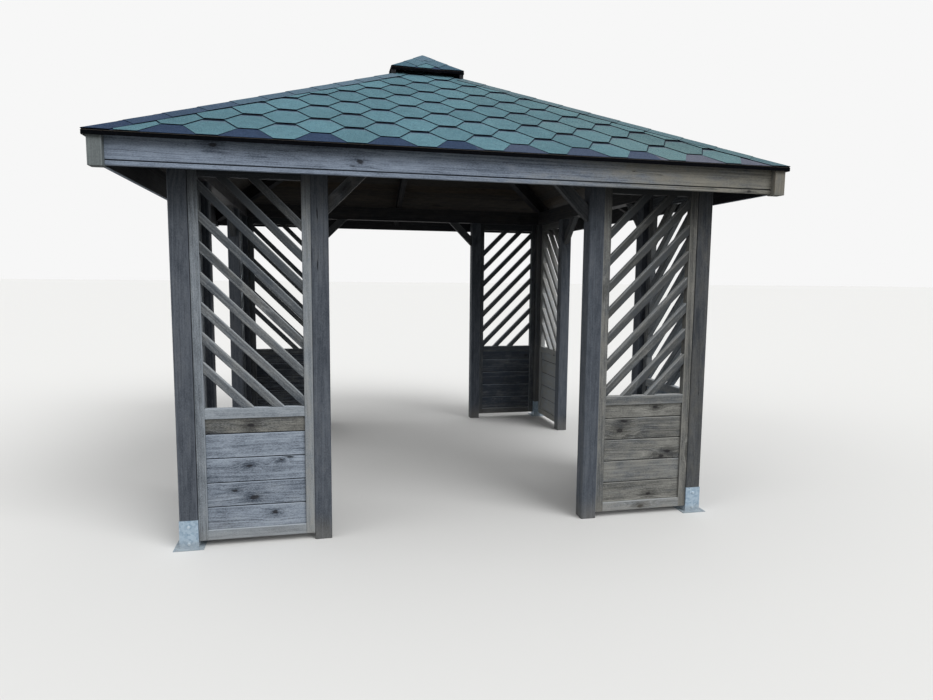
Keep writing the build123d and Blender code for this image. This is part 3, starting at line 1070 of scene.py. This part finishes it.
def print_and_shadow(tab, mottle):
    """Masks for the dark line, print and painted shadow, below the edges of the tab above, and for the
    printed mauve shade.
    """
    across = abs(tab.axis(0))
    below = 2 * TAB_COURSE - tab.axis(1) + (mottle - 0.5) * RAGGED_LINE
    bar_end = 1 - across.rise(TAB_BOTTOM / 2, TAB_BOTTOM / 2 + SOFT_EDGE)
    under_bar = (1 - below.rise(PRINT_AND_SHADOW_LINE * 0.7, PRINT_AND_SHADOW_LINE)) * bar_end
    flank = (TAB_PITCH - TAB_BOTTOM) / 2 - (tab.axis(1) - TAB_COURSE) * (TAB_FLARE / TAB_COURSE) - across
    flank_shadow = (1 - flank.rise(*FLANK_SHADOW)) * tab.axis(1).rise(TAB_COURSE, TAB_COURSE * 1.05)
    line = (under_bar + flank_shadow * FLANK_SHADOW_STRENGTH).rise(0.0, 1.0)
    return line, 1 - (below - across * 0.4).rise(0.0, PRINTED_SHADE)


print("the printed line is", round(PRINT_AND_SHADOW_LINE * 1000), "mm wide")


# %% Granules
def granules():
    """Slate grains on felt: teal, slate, a mauve shade, a dark line of print and painted shadow, and
    painted warm sunlight, as the attributes say.
    """
    material, start = new_material("granules")
    tab, look = (start.attribute(label) for label in ("tab", "look"))
    place = start.node("ShaderNodeTexCoord", {}, {}, "Object")
    distance = place.cells(1 / GRAIN_SIZE)
    pick = place.cells(1 / GRAIN_SIZE, output=1).axis(0)
    teal, slate, mauve, navy = (
        start.node("ShaderNodeValToRGB", {"stops": [(where, paint(*tint)) for where, tint in grains]},
                   {"Fac": pick}) for grains in GRAIN_RAMPS)
    cloud, mottle = (place.noise(*noise) for noise in (CLOUDS, FINE_MOTTLE))
    colour = (look.axis(0) + (mottle - 0.5) * 0.25).rise(0.05, 0.95).blend(teal, slate)
    line, shade = print_and_shadow(tab, mottle)
    colour = (shade * 0.5 + tab.axis(2)).blend(colour, mauve)
    # The dark line: print and painted shadow under the edges of the tab above
    colour = line.blend(colour, navy)
    level = GRAIN_LEVEL + (cloud - 0.5) * LEVEL_SWING + (mottle - 0.5) * LEVEL_SWING
    level = level + look.axis(1) * LEVEL_STEP
    colour = colour * start.node("ShaderNodeCombineColor", {}, {0: level, 1: level, 2: level})
    # Painted warm sunlight, as each plate's warmth says
    warm = (look.axis(2) + (cloud - 0.5) * 0.3).rise(*WARM_ENDS)
    colour = warm.blend(colour, colour * WARM_TINT)
    height = distance * 0.8 + mottle * 0.4
    close_material(start, height, 0.0008, {
        "Base Color": colour, "Roughness": 0.92, "Specular IOR Level": 0.05})
    return material


print("granules read two attributes of their plate")


# %% Cut felt
def cut_felt():
    """The dark bitumen felt seen at a cut edge."""
    material, start = new_material("cut_felt")
    place = start.node("ShaderNodeTexCoord", {}, {}, "Object")
    fluff = place.noise((260, 260, 260), 3.0, 0.6)
    colour = fluff.rise(0.3, 0.8).blend(paint(5, 7, 12), paint(17, 21, 30))
    close_material(start, fluff, 0.0006, {
        "Base Color": colour, "Roughness": 0.9, "Specular IOR Level": 0.03})
    return material


COVERING = [granules(), cut_felt()]
print("covering:", ", ".join(material.name for material in COVERING))

# %% [markdown]
# ## Hexagonal tabs
# The covering is laid in strips with three tabs to the metre. Each tab is narrow at its lower edge and
# widens upwards, and the next course, half a tab along, covers the notches, so that the eye sees long
# hexagons. A flat texture would lose the dark steps that a low camera sees, so every tab is a real
# plate of felt. It lies tilted, two layers up at its lower edge and flush at its head, as lapped felt
# does. Below the first course plain slate strips, one metre long, show through the notches. Towards the
# right the strips are painted paler and more mauve and the tabs a little warmer, as sunlit from the
# right.

# %% Sizes of the covering
FELT = 0.0032
HEAD_LAP = 0.020
STRIP_SLATE = 0.95
# How much more mauve and paler the starter strips are painted towards the right, as sunlit
STRIP_SUNLIT_MAUVE = 0.65
STRIP_SUNLIT_PALING = 1.5
NO_SHADE = -1.0
NOTCH_LAP = 0.002
TAB_NUDGE = 0.0024
# How far luck moves a strip's level, a tab's share of slate and a tab's warmth
STRIP_LUCK = (-0.3, 0.9)
SLATE_LUCK = (-0.06, 0.1)
WARM_LUCK = 0.06


def lift(distance):
    """How high a tab's top lies above its bed, at a distance up from its lower edge."""
    return FELT * 2 * (1 - distance / (2 * TAB_COURSE))


def felt_plate(slope, bed, outline, start, top_at, thickness):
    """A plate of felt over an outline of (across, up), with its top given by a function."""
    tops, bottoms = [], []
    for across, up in outline:
        off = bed + top_at(up - start)
        tops.append(slope.point(across, up, off))
        bottoms.append(slope.point(across, up, off - thickness))
    return plate(bottoms, tops)


def add_felt(pile, solid, tab, look):
    """Add a plate of felt: granules on top, cut felt on the sides and below."""
    points, faces = solid
    slots = [1, 0] + [1] * (len(faces) - 2)
    pile.add(points, faces, {"tab": list(tab) * 2, "look": [look] * len(points)}, slots=slots)


print("a tab's lower edge lies", round(lift(0) * 1000, 1), "mm up")


# %% Courses of tabs
def tab_outline(centre, start):
    """One tab as (across, up): narrow below, wider at the notch, full width at its head."""
    narrow, wide, full = TAB_BOTTOM / 2, TAB_BOTTOM / 2 + TAB_FLARE, TAB_PITCH / 2
    notch, head = start + TAB_COURSE + NOTCH_LAP, start + 2 * TAB_COURSE + HEAD_LAP
    right = [(narrow, start), (wide, notch), (full, notch), (full, head)]
    left = [(-across, up) for across, up in right[::-1]]
    return [(centre + across, up) for across, up in left[-1:] + right + left[:-1]]


def lay_courses(pile, slope, bed, top, phase, luck, sunlit_warmth):
    """Cover a slope with starter strips and lapped courses of tabs, and count the tabs.

    The phase is where a tab's middle lies in the first course. The last argument is the warmth at the
    right end, painted sunlight from the right."""
    start = slope.plumb_up(bed + lift(0))
    for number in range(-2, 2):
        first, last = number * STRIP_LENGTH, (number + 1) * STRIP_LENGTH
        strip = [(first, start), (last, start), (last, start + TAB_COURSE), (first, start + TAB_COURSE)]
        strip = slope.trim(strip, bed, top)
        if len(strip) < 3:
            continue
        side = sum(across for across, up in strip) / len(strip) / slope.half
        solid = felt_plate(slope, bed, strip, start, lambda d: FELT * (1 - d / TAB_COURSE / 2), FELT)
        # Painted sunlight: towards the right the strips turn more mauve, paler and warmer
        mauve = max(0.0, side) * STRIP_SUNLIT_MAUVE * sunlit_warmth
        level = side * STRIP_SUNLIT_PALING + luck.uniform(*STRIP_LUCK)
        look = (STRIP_SLATE, level, sunlit_warmth * (0.5 + side / 2))
        add_felt(pile, solid, [(0, NO_SHADE, mauve)] * len(strip), look)
    count = 0
    course = 0
    while start + course * TAB_COURSE < top:
        foot = start + course * TAB_COURSE
        offset = phase + TAB_PITCH / 2 * (course % 2)
        reach = int(slope.half / TAB_PITCH) + 2
        for number in range(-reach, reach + 1):
            centre = offset + number * TAB_PITCH
            outline = slope.trim(tab_outline(centre, foot), bed, top)
            if len(outline) < 3:
                continue
            nudge = luck.uniform(0.0, TAB_NUDGE)
            outline = [(across, up + nudge * (up < foot + TAB_COURSE)) for across, up in outline]
            tab = [(across - centre, up - foot, 0) for across, up in outline]
            # Painted sunlight: the tabs turn warmer towards the right, with a little warmth at random
            warm = sunlit_warmth * (0.5 + centre / slope.half / 2) + luck.uniform(-WARM_LUCK, WARM_LUCK)
            look = (luck.uniform(*SLATE_LUCK), luck.uniform(-1, 1), warm)
            add_felt(pile, felt_plate(slope, bed, outline, foot, lift, FELT), tab, look)
            count += 1
        course += 1
    return count


# Front, right, rear and left slope
PHASES = (0.083, 0.02, -0.11, 0.14)
# How warm each slope is painted at its right end, as sunlit
SUNLIT_WARMTHS = (1.2, 0.8, 0.5, 0.5)
for quarters, side in enumerate(SIDES):
    luck = random.Random(f"tabs {side}")
    pile = Pile()
    slope = slopes[quarters]
    top = slope.up_at(hub_opening, DECK_THICKNESS)
    count = lay_courses(pile, slope, DECK_THICKNESS, top, PHASES[quarters], luck, SUNLIT_WARMTHS[quarters])
    pile.make(f"shingles_{side}_tabs", COVERING, "shingles", [f"shingles_{side}"])
print("tabs on the last slope:", count)

# %% [markdown]
# ## Caps over the hips
# Where two slopes meet, squares of the same felt are folded over the hip, each lapping the one below. A
# folded square is bent round a small radius, so a cap is a narrow grid across the hip instead of two
# flat halves. The lowest one is trimmed to both eaves. Each hip was capped from its own strips, so each
# has its own tints: the front left one starts as slate and turns to teal on its way up, and the front
# right one is pale from the eave on. The caps' warmth is painted sunlight, warmest on the front right
# hip.

# %% A folded grid
CAP_FOLD = 0.006
CAP_BED = 0.0035
CAP_LIFT = 0.0045
CAP_REACH = 2.1
CAP_DROOP = 0.001
SHORTEST_CAP = 0.3
# How far luck moves a cap's share of slate and its level
CAP_SLATE_LUCK = 0.08
CAP_LEVEL_LUCK = 0.5


def grid_slab(rows_top, rows_bottom):
    """A closed solid between an upper and a lower grid of points. Its first faces are the top."""
    wide, deep = len(rows_top[0]), len(rows_top)
    points = [p for row in rows_top for p in row] + [p for row in rows_bottom for p in row]
    below = wide * deep
    tops, bottoms = [], []
    for row in range(deep - 1):
        for column in range(wide - 1):
            corner = row * wide + column
            ring = [corner, corner + 1, corner + wide + 1, corner + wide]
            tops.append(ring)
            bottoms.append([below + number for number in ring[::-1]])
    rim = list(range(wide)) + [wide * row + wide - 1 for row in range(1, deep)]
    rim += [wide * (deep - 1) + column for column in range(wide - 2, -1, -1)]
    rim += [wide * row for row in range(deep - 2, 0, -1)]
    sides = [[a, a + below, b + below, b] for a, b in zip(rim, rim[1:] + rim[:1])]
    return points, tops, bottoms + sides


print("a cap's fold is eased over", round(CAP_FOLD * 2000), "mm")


# %% Laying caps
def hip_caps(pile, slope, width, length, stop, luck, tints):
    """Lapped caps over a slope's left hip, from the eave to a plan distance from the centre.

    The tints are the share of slate at the eave, the share lost towards the top, what the lowest cap
    has more, how much paler and how much more mauve they turn towards the top, and their warmth, which
    is painted sunlight."""
    climb = slope.climb / slope.run
    steep = 1 / slope.run
    root = math.sqrt(2)
    corner = slope.half * root
    step = length / math.sqrt(1 + climb ** 2 / 2)
    across = [-width, -width / 2, -CAP_FOLD, 0, CAP_FOLD, width / 2, width]
    count = 0
    low = corner
    while low > stop * root + step * SHORTEST_CAP:
        high = max(low - CAP_REACH * step, stop * root)
        climbed = (corner - low) / (corner - stop * root)
        slate = tints["slate"] - tints["fade"] * climbed + luck.uniform(-CAP_SLATE_LUCK, CAP_SLATE_LUCK)
        slate += tints["foot"] * (count < 1)
        level = climbed * tints["paler"] + luck.uniform(-CAP_LEVEL_LUCK, CAP_LEVEL_LUCK)
        look = (slate, level, tints["warm"])
        rows_top, rows_bottom, tab = [], [], []
        for share in (0, 0.5, 1):
            row_top, row_bottom = [], []
            for w in across:
                first = min(low, corner - abs(w))
                a = first + (high - first) * share
                bend = math.hypot(w, CAP_FOLD) - CAP_FOLD * 0.5
                height = slope.eave_z + (slope.half - (a + bend) / root) * climb
                x, y = (a - w) / root, -(a + w) / root
                off = CAP_BED + CAP_LIFT * (1 - (low - a) / (CAP_REACH * step))
                off -= CAP_DROOP * abs(w) / width
                row_top.append(slope.turn @ Vector((x, y, height + off * steep)))
                row_bottom.append(slope.turn @ Vector((x, y, height + (off - FELT) * steep)))
                tab.append((0, NO_SHADE, climbed * tints["mauve"]))
            rows_top.append(row_top)
            rows_bottom.append(row_bottom)
        points, tops, others = grid_slab(rows_top, rows_bottom)
        slots = [0] * len(tops) + [1] * len(others)
        pile.add(points, tops + others, {"tab": tab * 2, "look": [look] * len(points)}, slots=slots)
        low -= step
        count += 1
    return count


print("share of a cap that the next one covers:", round(1 - 1 / CAP_REACH, 2))

# %% The four hips
CAP_WIDTH = 0.080
CAP_LENGTH = 0.21
cap_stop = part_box("cupola_legs")[1].x
# The front right hip is pale, and painted warmest, as it faces the sun
PALE_AND_SUNLIT = {"slate": 0.32, "fade": 0.0, "foot": 0.0, "paler": 0.5, "mauve": 0.25, "warm": 1.0}
GREY = {"slate": 0.5, "fade": 0.0, "foot": 0.3, "paler": 1.0, "mauve": 0.4, "warm": 0.4}
SLATE_TO_TEAL = {"slate": 0.82, "fade": 0.6, "foot": 0.15, "paler": 0.8, "mauve": 0.5, "warm": 0.6}
# Front right, rear right, rear left and front left hip
HIP_TINTS = (PALE_AND_SUNLIT, GREY, GREY, SLATE_TO_TEAL)
shingle_eave = deck_low.z + DECK_THICKNESS / slopes[0].run
print("caps start at a height of", round(shingle_eave, 3))
luck = random.Random("caps")
pile = Pile()
for quarters in range(4):
    slope = Slope(roof_half, ROOF_PITCH, shingle_eave, quarters)
    count = hip_caps(pile, slope, CAP_WIDTH, CAP_LENGTH, cap_stop, luck, HIP_TINTS[quarters])
pile.make("hip_caps_felt", COVERING, "hip_shingles", ["hip_caps"])
print("caps on each hip:", count)

# %% [markdown]
# ## The cupola's covering
# The cupola repeats the main roof in small: a starter, two courses of tabs and wide caps over the four
# hips. The same functions make it, with its own half width, pitch and eave height.

# %% Cupola
cupola_low, cupola_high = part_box("cupola_deck")
CUPOLA_DECK = 0.015
CUPOLA_PHASE = -0.02
# How warm the cupola is painted at its right end, as sunlit
CUPOLA_SUNLIT_WARMTH = 0.3
CUPOLA_PEAK = 0.002
CUPOLA_CAP_WIDTH = 0.115
CUPOLA_CAP_LENGTH = 0.16
CUPOLA_TINTS = {"slate": 0.35, "fade": 0.0, "foot": 0.1, "paler": 0.5, "mauve": 0.5, "warm": 0.5}
cupola_half = cupola_high.x
pile = Pile()
luck = random.Random("cupola")
for quarters in range(4):
    slope = Slope(cupola_half, CUPOLA_PITCH, cupola_low.z, quarters)
    top = slope.up_at(CUPOLA_PEAK, CUPOLA_DECK)
    lay_courses(pile, slope, CUPOLA_DECK, top, CUPOLA_PHASE, luck, CUPOLA_SUNLIT_WARMTH)
cupola_top = cupola_low.z + CUPOLA_DECK / slope.run
for quarters in range(4):
    slope = Slope(cupola_half, CUPOLA_PITCH, cupola_top, quarters)
    hip_caps(pile, slope, CUPOLA_CAP_WIDTH, CUPOLA_CAP_LENGTH, 0.0, luck, CUPOLA_TINTS)
pile.make("cupola_felt", COVERING, "shingles", ["cupola_covering"])
print("cupola's eave stands at", round(cupola_low.z, 3))

# %% [markdown]
# ## Galvanised shoes
# The corner posts stand in folded steel boxes with a zinc coat. New zinc shows large flat crystals, a
# little lighter or darker than each other, and dulls to a pale blue grey. The shape in the frame is
# exact, so the node stays and only gets the material. Voronoi cells make the crystals, a soft noise the
# dull bloom, and mud climbs the lowest centimetres.


# %% Zinc
SHOE_CRYSTAL = 0.012
MUD_HEIGHT = 0.06
BLOOM = ((30, 30, 30), 4.0, 0.6)
PALE_ZINC = paint(176, 194, 208)


def zinc(name, spangle, light):
    """Dull galvanised steel with crystals of a given size."""
    material, start = new_material(name)
    place = start.node("ShaderNodeTexCoord", {}, {}, "Object")
    crystal = place.cells(1 / spangle, output=1).axis(0)
    bloom = place.noise(*BLOOM)
    colour = (crystal * 0.5 + bloom * 0.5).rise(0.1, 0.9).blend(light, PALE_ZINC)
    low = 1 - (place.axis(2) + (bloom - 0.5) * 0.05).rise(0.0, MUD_HEIGHT)
    colour = (low * 0.35).blend(colour, DUST_COLOUR)
    rough = 0.45 + bloom * 0.2 + low * 0.3
    metal = 0.5 - low * 0.3
    close_material(start, crystal + bloom, 0.0003, {
        "Base Color": colour, "Roughness": rough, "Metallic": metal})
    return material


shoes = frame["nodes"]["post_shoes"]
shoes.data.materials.clear()
shoes.data.materials.append(zinc("shoe_zinc", SHOE_CRYSTAL, paint(140, 162, 182)))
print("zinc crystals of", round(SHOE_CRYSTAL * 1000), "mm on the shoes")

# %% [markdown]
# ## Screws through the shoes
# Two coach screws hold each shoe to its post from the two outer sides. Each head is a hexagon on a round
# washer, small but bright, and it is made once as a turned profile with few sides, then copied.

# %% Screw heads
SCREW_HEIGHTS = (0.026, 0.117)
WASHER_RADIUS = 0.009
WASHER_HEIGHTS = (-0.001, 0.0014)
HEAD_RADIUS = 0.0065
HEAD_HEIGHTS = (0.0, 0.0055)
SCREW_CRYSTAL = 0.004
SHOE_WALL = 0.002


def ring_of(radius, height, sides):
    """Points on a circle about Z."""
    angles = [2 * math.pi * number / sides for number in range(sides)]
    return [Vector((radius * math.cos(a), radius * math.sin(a), height)) for a in angles]


def screw_head():
    """A washer with a hexagon head, pointing along Z."""
    parts = ((WASHER_RADIUS, WASHER_HEIGHTS, 0.94, 18), (HEAD_RADIUS, HEAD_HEIGHTS, 0.9, 6))
    for radius, (foot, top), taper, sides in parts:
        yield plate(ring_of(radius, foot, sides), ring_of(radius * taper, top, sides))


post_low, post_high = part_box("corner_post_front_right")
post_middle = (post_low.x + post_high.x) / 2
face_out = post_high.x + SHOE_WALL
pile = Pile()
for quarters in range(4):
    turn = Matrix.Rotation(math.radians(90) * quarters, 4, "Z")
    for x, y, outward in ((post_middle, -face_out, (0, -1, 0)), (face_out, -post_middle, (1, 0, 0))):
        for height in SCREW_HEIGHTS:
            place = Vector(outward).to_track_quat("Z", "Y").to_matrix().to_4x4()
            place.translation = Vector((x, y, height))
            for points, faces in screw_head():
                pile.add([turn @ place @ point for point in points], faces, {})
screw_zinc = zinc("screw_zinc", SCREW_CRYSTAL, paint(206, 218, 226))
pile.make("shoe_screws", [screw_zinc], "galvanised_steel")
print("screw heads:", 4 * 2 * len(SCREW_HEIGHTS))

# %% [markdown]
# ## Floor, light and air
# The stage is plain so that the timber is judged by itself. The floor looks pale to the camera, but to
# bounced light it is a mid grey like paving: a white floor would throw light up under the roof, where
# it should be dark. The air is the same: white to the camera, soft to the object and a little brighter
# overhead, as an open sky is. A broad sun stands at the right of the front, forty degrees up. A weaker
# and broader lamp, low at the left, stands for the open side of the garden: it reaches under the eave
# and shows the inner sides of the right posts. Sun lamps light every part at the same level, near or
# far, so a colour comes out about as it was written.

# %% Stage
FLOOR_SIZE = 600.0
FLOOR_HEIGHT = -0.0005
FLOOR_SEEN = (0.72, 0.72, 0.71, 1)
FLOOR_BOUNCE = (0.22, 0.22, 0.21, 1)
SEEN_WHITE = 0.93
HORIZON_LIGHT = 0.50
ZENITH_LIGHT = 0.85


def seen_directly(start):
    """One where the camera, a reflection or a transmitted ray looks, zero for soft bounced light."""
    looks = [start.node("ShaderNodeLightPath", {}, {}, name)
             for name in ("Is Camera Ray", "Is Glossy Ray", "Is Transmission Ray")]
    return (looks[0] + looks[1] + looks[2]).least(1.0)


bpy.ops.mesh.primitive_plane_add(size=FLOOR_SIZE, location=(0, 0, FLOOR_HEIGHT))
floor = bpy.context.object
floor.name = "stage_floor"
material, start = new_material("stage_floor")
floor_colour = seen_directly(start).blend(FLOOR_BOUNCE, FLOOR_SEEN)
shader = start.node("ShaderNodeBsdfDiffuse", {}, {"Color": floor_colour})
start.node("ShaderNodeOutputMaterial", {}, {"Surface": shader})
floor.data.materials.append(material)

world = bpy.data.worlds.new("studio_air")
bpy.context.scene.world = world
world.use_nodes = True
world.node_tree.nodes.clear()
start = Signal(world.node_tree)
upwards = start.node("ShaderNodeTexCoord", {}, {}, "Generated").axis(2).rise(0.0, 1.0)
soft = upwards * (ZENITH_LIGHT - HORIZON_LIGHT) + HORIZON_LIGHT
strength = soft + seen_directly(start) * (SEEN_WHITE - soft)
air = start.node("ShaderNodeBackground", {}, {"Color": (1, 1, 1, 1), "Strength": strength})
start.node("ShaderNodeOutputWorld", {}, {"Surface": air})
print("floor of", FLOOR_SIZE, "m")

# %% Lamps
# Where each lamp shines from, its strength and its breadth in degrees
LAMPS = {"sun": ((0.44, -0.63, 0.64), 1.85, 40), "open_side": ((-0.9, -0.15, 0.35), 0.9, 60)}


def add_lamp(name, shines_from, strength, breadth):
    """A broad lamp, far away, that shines from one direction."""
    data = bpy.data.lights.new(name, "SUN")
    data.angle = math.radians(breadth)
    data.energy = strength
    lamp = bpy.data.objects.new(name, data)
    lamp.rotation_euler = Vector(shines_from).to_track_quat("Z", "Y").to_euler()
    bpy.context.scene.collection.objects.link(lamp)


for name, settings in LAMPS.items():
    add_lamp(name, *settings)

# %% [markdown]
# ## The camera
# The photograph was taken from standing height, a little left of the middle, turned to the right and
# tipped slightly down. Its place and angles were solved from the object's own edges, and its focal
# length is known in pixels of the 933 by 700 image, so it is turned into a lens for a 36 mm sensor.

# %% Camera
IMAGE_WIDTH = 933
FOCAL_PIXELS = 655.44
CAMERA_PLACE = Vector((-0.7856, -5.0214, 1.4075))
CAMERA_YAW = math.radians(12.815)
CAMERA_PITCH = math.radians(-6.1045)
CAMERA_ROLL = math.radians(0.563)
SENSOR = 36.0

camera_data = bpy.data.cameras.new("camera")
camera_data.sensor_width = SENSOR
camera_data.lens = FOCAL_PIXELS / IMAGE_WIDTH * SENSOR
camera = bpy.data.objects.new("camera", camera_data)
bpy.context.scene.collection.objects.link(camera)
ahead = Vector((math.sin(CAMERA_YAW) * math.cos(CAMERA_PITCH),
                math.cos(CAMERA_YAW) * math.cos(CAMERA_PITCH), math.sin(CAMERA_PITCH)))
right = Vector((math.cos(CAMERA_YAW), -math.sin(CAMERA_YAW), 0))
above = right.cross(ahead)
right_rolled = right * math.cos(CAMERA_ROLL) + above * math.sin(CAMERA_ROLL)
above_rolled = above * math.cos(CAMERA_ROLL) - right * math.sin(CAMERA_ROLL)
camera.matrix_world = Matrix.Translation(CAMERA_PLACE) @ Matrix(
    (right_rolled, above_rolled, -ahead)).transposed().to_4x4()
bpy.context.scene.camera = camera
bpy.context.scene.view_settings.view_transform = "Standard"
print("lens of", round(camera_data.lens, 2), "mm")
